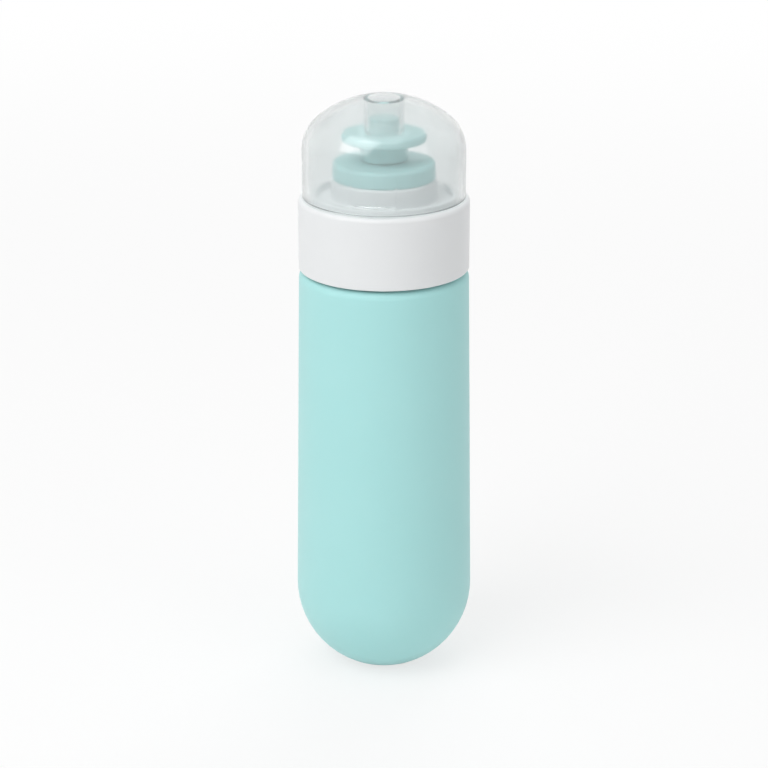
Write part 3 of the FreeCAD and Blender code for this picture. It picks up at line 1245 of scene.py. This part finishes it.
    def ring_mesh(self) -> Mesh:
        """Turn the ring that keeps the valve's flange against the spout's roof.

        Returns:
            The ring.
        """
        soft = self.moulded_edge
        outline = Outline().to(self.ring_bore, self.ring.bottom, soft)
        outline.to(self.ring.radius, self.ring.bottom, soft)
        outline.to(self.ring.radius, self.ring.top).to(self.ring_bore, self.ring.top, soft)
        return LATHE.turn(outline, FINISHES.neck)

    def build(self) -> list[Piece]:
        """Make the closure and what it carries.

        Returns:
            The five pieces.
        """
        return [
            Piece("screw_closure_white", self.closure_mesh(), FINISHES.closure, Body.CLOSURE, Slot.CLOSURE,
                  "screw_closure"),
            Piece("closure_thread", self.thread.mesh(FINISHES.closure), FINISHES.closure, Body.CLOSURE,
                  Slot.CLOSURE),
            Piece("sealing_washer_soft", self.washer_mesh(), FINISHES.washer, Body.WASHER, Slot.WASHER,
                  "sealing_washer"),
            Piece("slit_valve", self.valve_mesh(), FINISHES.valve, Body.CLOSURE, Slot.VALVE, "valve"),
            Piece("valve_ring", self.ring_mesh(), FINISHES.neck, Body.CLOSURE, Slot.NECK, "valve_retainer"),
        ]


@dataclass
class FlipLid:
    """The clear dome that swings on the pin, with the silicone stopper in it."""

    hinge: HingeLine
    dome: NodeBox = NodeBox.of("flip_lid")
    stopper: NodeBox = NodeBox.of("lid_stopper")
    radius: float = 19.5
    wall: float = 1.6
    shoulder_radius: float = 10.0
    crown_ease: float = 6.0
    edge: float = 0.3
    socket_wall: float = 1.0
    thumb_radius: float = 8.0
    thumb_reach: float = 1.3
    thumb_thickness: float = 1.6
    thumb_rise: float = 0.9
    thumb_edge: float = 0.45
    stem_radius: float = 5.6
    stem_length: float = 4.6
    stem_foot: float = 0.5
    tip_edge: float = 0.6
    flange_height: float = 2.2
    flange_edge: float = 0.8
    peg_radius: float = 3.6
    peg_edge: float = 0.4
    peg_fit: float = 0.05

    @property
    def flange_top(self) -> float:
        """Height of the stopper's flange, where the socket ends."""
        return self.stopper.bottom + self.stem_length + self.flange_height

    @property
    def shoulder(self) -> Point:
        """Centre of the shoulder's arc."""
        across = self.radius - self.shoulder_radius
        return across, self.crown_centre + math.sqrt(self.crown_ease ** 2 + 2 * across * self.crown_ease)

    @property
    def crown_centre(self) -> float:
        """Height of the centre of the crown's ball."""
        return self.dome.top - self.radius - self.crown_ease

    def meeting(self, inset: float) -> Point:
        """Find where shoulder and crown meet.

        Args:
            inset: How far in from the outer face.

        Returns:
            The radius and height of that place.
        """
        across, up = self.shoulder
        outward_way = Vector((across, up - self.crown_centre)).normalized()
        reach = self.radius + self.crown_ease - inset
        return outward_way.x * reach, self.crown_centre + outward_way.y * reach

    def crown_height(self, across: float) -> float:
        """Height of the crown's inner face at a radius."""
        return self.crown_centre + math.sqrt((self.radius + self.crown_ease - self.wall) ** 2 - across ** 2)

    def dome_mesh(self) -> Mesh:
        """Turn the dome with the socket ring that holds the stopper's peg.

        Returns:
            The dome, whole all the way round.
        """
        inside = self.radius - self.wall
        socket = self.peg_radius + self.peg_fit
        socket_outside = socket + self.socket_wall
        centre = (0.0, self.crown_centre)
        outline = Outline().to(inside, self.dome.bottom, self.edge)
        outline.to(self.radius, self.dome.bottom, self.edge)
        outline.to(self.radius, self.shoulder[1]).arc(self.shoulder, self.meeting(0))
        outline.arc(centre, (0, self.dome.top)).to(0, self.dome.top - self.wall)
        outline.arc(centre, (socket, self.crown_height(socket)))
        outline.to(socket, self.flange_top, self.edge).to(socket_outside, self.flange_top, self.edge)
        outline.to(socket_outside, self.crown_height(socket_outside)).arc(centre, self.meeting(self.wall))
        outline.arc(self.shoulder, (inside, self.shoulder[1]))
        return LATHE.turn(outline, FINISHES.lid)

    def tab_mesh(self) -> Mesh:
        """Make the crescent for a thumbnail at the front of the lid's edge.

        Returns:
            The crescent, with its back sunk in the dome's wall.
        """
        base = self.dome.bottom + self.thumb_rise
        top = base + self.thumb_thickness
        disc = LATHE.turn(Outline.rod(self.thumb_radius, base, top, self.thumb_edge), FINISHES.lid)
        moved(disc, Matrix.Translation((0, self.thumb_radius - self.radius - self.thumb_reach, 0)))
        core = Outline.rod(self.radius - self.wall / 2, base - CUT_PAST, top + CUT_PAST)
        return joined(disc, (Join.CUT, LATHE.turn(core, FINISHES.lid)))

    def slot_mesh(self, side: int) -> Mesh:
        """Make the room in the lid's wall for one ear.

        Args:
            side: 1 for the right ear, -1 for the left.

        Returns:
            The solid that is cut away.
        """
        room = self.hinge.knuckle_radius + self.hinge.clearance
        y, z = self.hinge.line
        front = y - self.hinge.ear_foot - self.hinge.clearance
        below = self.dome.bottom - CUT_PAST
        outline = Outline().to(front, below).to(y + room, below).to(y + room, z)
        outline.arc((y, z), (y, z + room)).to(front, z + room, self.edge)
        near, far = self.hinge.knuckle_width / 2, self.hinge.ear_span[1] + self.hinge.clearance
        return plate(outline, tuple(sorted((side * near, side * far))))

    def lid_mesh(self) -> Mesh:
        """Put the tab and the knuckle on the dome and cut the slots and the pin's bore.

        Returns:
            The whole lid.
        """
        hinge = self.hinge
        half = hinge.knuckle_width / 2
        knuckle = bar(FINISHES.lid, hinge.knuckle_radius, (-half, half), hinge.line, hinge.knuckle_edge)
        bore = bar(FINISHES.lid, hinge.pin_radius + hinge.pin_play, (-2 * half, 2 * half), hinge.line)
        return joined(
            self.dome_mesh(), (Join.ADD, self.tab_mesh()), (Join.CUT, self.slot_mesh(-1)),
            (Join.CUT, self.slot_mesh(1)), (Join.ADD, knuckle), (Join.CUT, bore))

    def stopper_mesh(self) -> Mesh:
        """Turn the stopper: a stem that closes the valve, a wide flange and a peg for the socket.

        Returns:
            The stopper.
        """
        under = self.stopper.bottom + self.stem_length
        outline = Outline().to(0, self.stopper.bottom)
        outline.to(self.stem_radius, self.stopper.bottom, self.tip_edge)
        outline.to(self.stem_radius, under, self.stem_foot)
        outline.to(self.stopper.radius, under, self.flange_edge)
        outline.to(self.stopper.radius, self.flange_top, self.flange_edge)
        outline.to(self.peg_radius, self.flange_top)
        outline.to(self.peg_radius, self.stopper.top, self.peg_edge).to(0, self.stopper.top)
        return LATHE.turn(outline, FINISHES.valve)

    def build(self) -> list[Piece]:
        """Make the lid and its stopper.

        Returns:
            The two pieces.
        """
        return [
            Piece("flip_lid_clear", self.lid_mesh(), FINISHES.lid, Body.LID, Slot.LID, "flip_lid"),
            Piece("lid_stopper_soft", self.stopper_mesh(), FINISHES.valve, Body.LID, Slot.VALVE,
                  "lid_stopper"),
        ]


@dataclass
class HingePin:
    """The steel pin through the ears and the knuckle."""

    hinge: HingeLine
    chamfer: float = 0.2

    def build(self) -> list[Piece]:
        """Make the pin.

        Returns:
            The one piece.
        """
        reach = self.hinge.pin.radius
        mesh = bar(FINISHES.pin, self.hinge.pin_radius, (-reach, reach), self.hinge.line, self.chamfer)
        return [Piece("hinge_pin_steel", mesh, FINISHES.pin, Body.CLOSURE, Slot.PIN, "hinge_pin")]


def face(viewer: bpy.types.Object, target: Vector, azimuth: float, elevation: float, distance: float) -> None:
    """Stand a lamp or the camera off a target and turn it to the target.

    Args:
        viewer: The lamp or camera.
        target: What it faces.
        azimuth: Degrees round from the front, towards +X.
        elevation: Degrees above the horizon.
        distance: How far off it stands.
    """
    around, above = math.radians(azimuth), math.radians(elevation)
    back = Vector((math.sin(around) * math.cos(above), -math.cos(around) * math.cos(above), math.sin(above)))
    viewer.location = target + back * distance
    viewer.rotation_euler = (-back).to_track_quat("-Z", "Y").to_euler()


@dataclass(frozen=True)
class Softbox:
    """A square lamp that faces the bottle; unless it gleams, neither gloss nor the clear lid shows it."""

    name: str
    azimuth: float
    elevation: float
    distance: float
    side: float
    power: float
    gleams: bool = True

    def build(self, target: Vector) -> None:
        """Hang the lamp.

        Args:
            target: What it faces.
        """
        lamp = bpy.data.lights.new(self.name, "AREA")
        lamp.shape = "SQUARE"
        lamp.size = self.side
        lamp.energy = self.power
        made = in_scene(self.name, lamp)
        made.visible_glossy = made.visible_transmission = self.gleams
        face(made, target, self.azimuth, self.elevation, self.distance)


@dataclass
class Studio:
    """Pale floor, soft lamps and the camera."""

    azimuth: float = 8.0            # of the camera, in degrees
    elevation: float = 20.0
    field_of_view: float = math.radians(19.0)
    filled: float = 0.80            # share of the frame's height that the bottle takes
    sensor: float = 36.0
    floor_size: float = 6.0
    floor_colour: Colour = (0.90, 0.90, 0.90, 1.0)
    floor_roughness: float = 0.7
    floor_glow: float = 0.7         # share of plain white that the eye sees near the bottle
    floor_fade: Point = (0.25, 0.9)  # how far off the floor starts to turn all white, and is so
    sky_light: float = 0.35
    backdrop: float = 1.0           # the strength that shows as white
    white: Colour = (1.0, 1.0, 1.0, 1.0)
    lamps: tuple[Softbox, ...] = (
        Softbox("key_lamp", azimuth=-40.0, elevation=46.0, distance=1.2, side=0.9, power=8.1),
        Softbox("fill_lamp", azimuth=60.0, elevation=25.0, distance=1.2, side=0.7, power=1.6),
        Softbox("top_lamp", azimuth=0.0, elevation=80.0, distance=1.0, side=0.8, power=1.9),
        Softbox("back_lamp", azimuth=175.0, elevation=38.0, distance=1.2, side=0.9, power=4.0, gleams=False),
    )

    def paper(self) -> bpy.types.Material:
        """Make the floor's paper: near white to the eye with the bottle's shadow, and all white further off.

        Returns:
            The material of the floor.
        """
        made = bpy.data.materials.new("floor_paper")
        graph = Graph.of(made)
        lit = graph.node("ShaderNodeBsdfPrincipled", {
            "Base Color": self.floor_colour, "Roughness": self.floor_roughness})
        white = graph.node("ShaderNodeEmission", {"Color": self.white, "Strength": self.backdrop})
        place = graph.node("ShaderNodeTexCoord").outputs["Object"]
        away = graph.node("ShaderNodeVectorMath", {0: place}, operation="LENGTH").outputs["Value"]
        near, far = self.floor_fade
        glow = graph.node("ShaderNodeMapRange", {
            "Value": away, "From Min": near, "From Max": far, "To Min": self.floor_glow},
            interpolation_type="SMOOTHSTEP")
        share = graph.math("MULTIPLY", self.seen(graph), glow.outputs["Result"])
        mixed = graph.mix(share, lit.outputs[0], white.outputs[0])
        graph.node("ShaderNodeOutputMaterial", {"Surface": mixed})
        return made

    def floor(self) -> None:
        """Lay the floor."""
        half = self.floor_size / 2
        mesh = bpy.data.meshes.new("floor")
        corners = [(-half, -half, 0), (half, -half, 0), (half, half, 0), (-half, half, 0)]
        mesh.from_pydata(corners, [], [(0, 1, 2, 3)])
        mesh.materials.append(self.paper())
        made = in_scene("floor", mesh)
        made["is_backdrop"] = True

    def seen(self, graph: Graph) -> Socket:
        """Tell the rays that look from those that light.

        Args:
            graph: The nodes of the floor or the world.

        Returns:
            1 for the eye's rays, also by gloss and through the clear lid, and 0 for all others.
        """
        path = graph.node("ShaderNodeLightPath").outputs
        shown = path["Is Camera Ray"]
        for kind in ("Is Glossy Ray", "Is Transmission Ray"):
            shown = graph.math("MAXIMUM", shown, path[kind])
        return shown

    def world(self) -> None:
        """Light the room evenly, and show it white to the eye, in gloss and through the clear lid."""
        made = bpy.data.worlds.new("studio")
        bpy.context.scene.world = made
        graph = Graph.of(made)
        light = graph.node("ShaderNodeBackground", {"Color": self.white, "Strength": self.sky_light})
        white = graph.node("ShaderNodeBackground", {"Color": self.white, "Strength": self.backdrop})
        mixed = graph.mix(self.seen(graph), light.outputs[0], white.outputs[0])
        graph.node("ShaderNodeOutputWorld", {"Surface": mixed})

    def camera(self, low: Vector, high: Vector) -> None:
        """Set the camera at the photograph's angle.

        Args:
            low: The object's lowest corner.
            high: Its highest corner.
        """
        size = high - low
        above = math.radians(self.elevation)
        seen = size.z * math.cos(above) + size.x * math.sin(above)
        lens = bpy.data.cameras.new("camera")
        half_view = math.tan(self.field_of_view / 2)
        lens.sensor_width = self.sensor
        lens.lens = self.sensor / 2 / half_view
        made = in_scene("camera", lens)
        face(made, (low + high) / 2, self.azimuth, self.elevation, seen / 2 / self.filled / half_view)
        bpy.context.scene.camera = made

    def build(self) -> None:
        """Set up the whole studio."""
        low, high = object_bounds()
        self.floor()
        self.world()
        for lamp in self.lamps:
            lamp.build((low + high) / 2)
        self.camera(low, high)
        bpy.context.scene.view_settings.view_transform = "Standard"


def main() -> None:
    """Build the sub-assemblies in order and set the studio up round them."""
    logging.basicConfig(level=logging.INFO, format="%(name)s: %(message)s")
    bottle, hinge = SqueezeBottle(), HingeLine()
    for assembly in (bottle, ScrewClosure(bottle, hinge), FlipLid(hinge), HingePin(hinge)):
        for piece in assembly.build():
            piece.place()
    Studio().build()


if __name__ == "__main__":
    main()
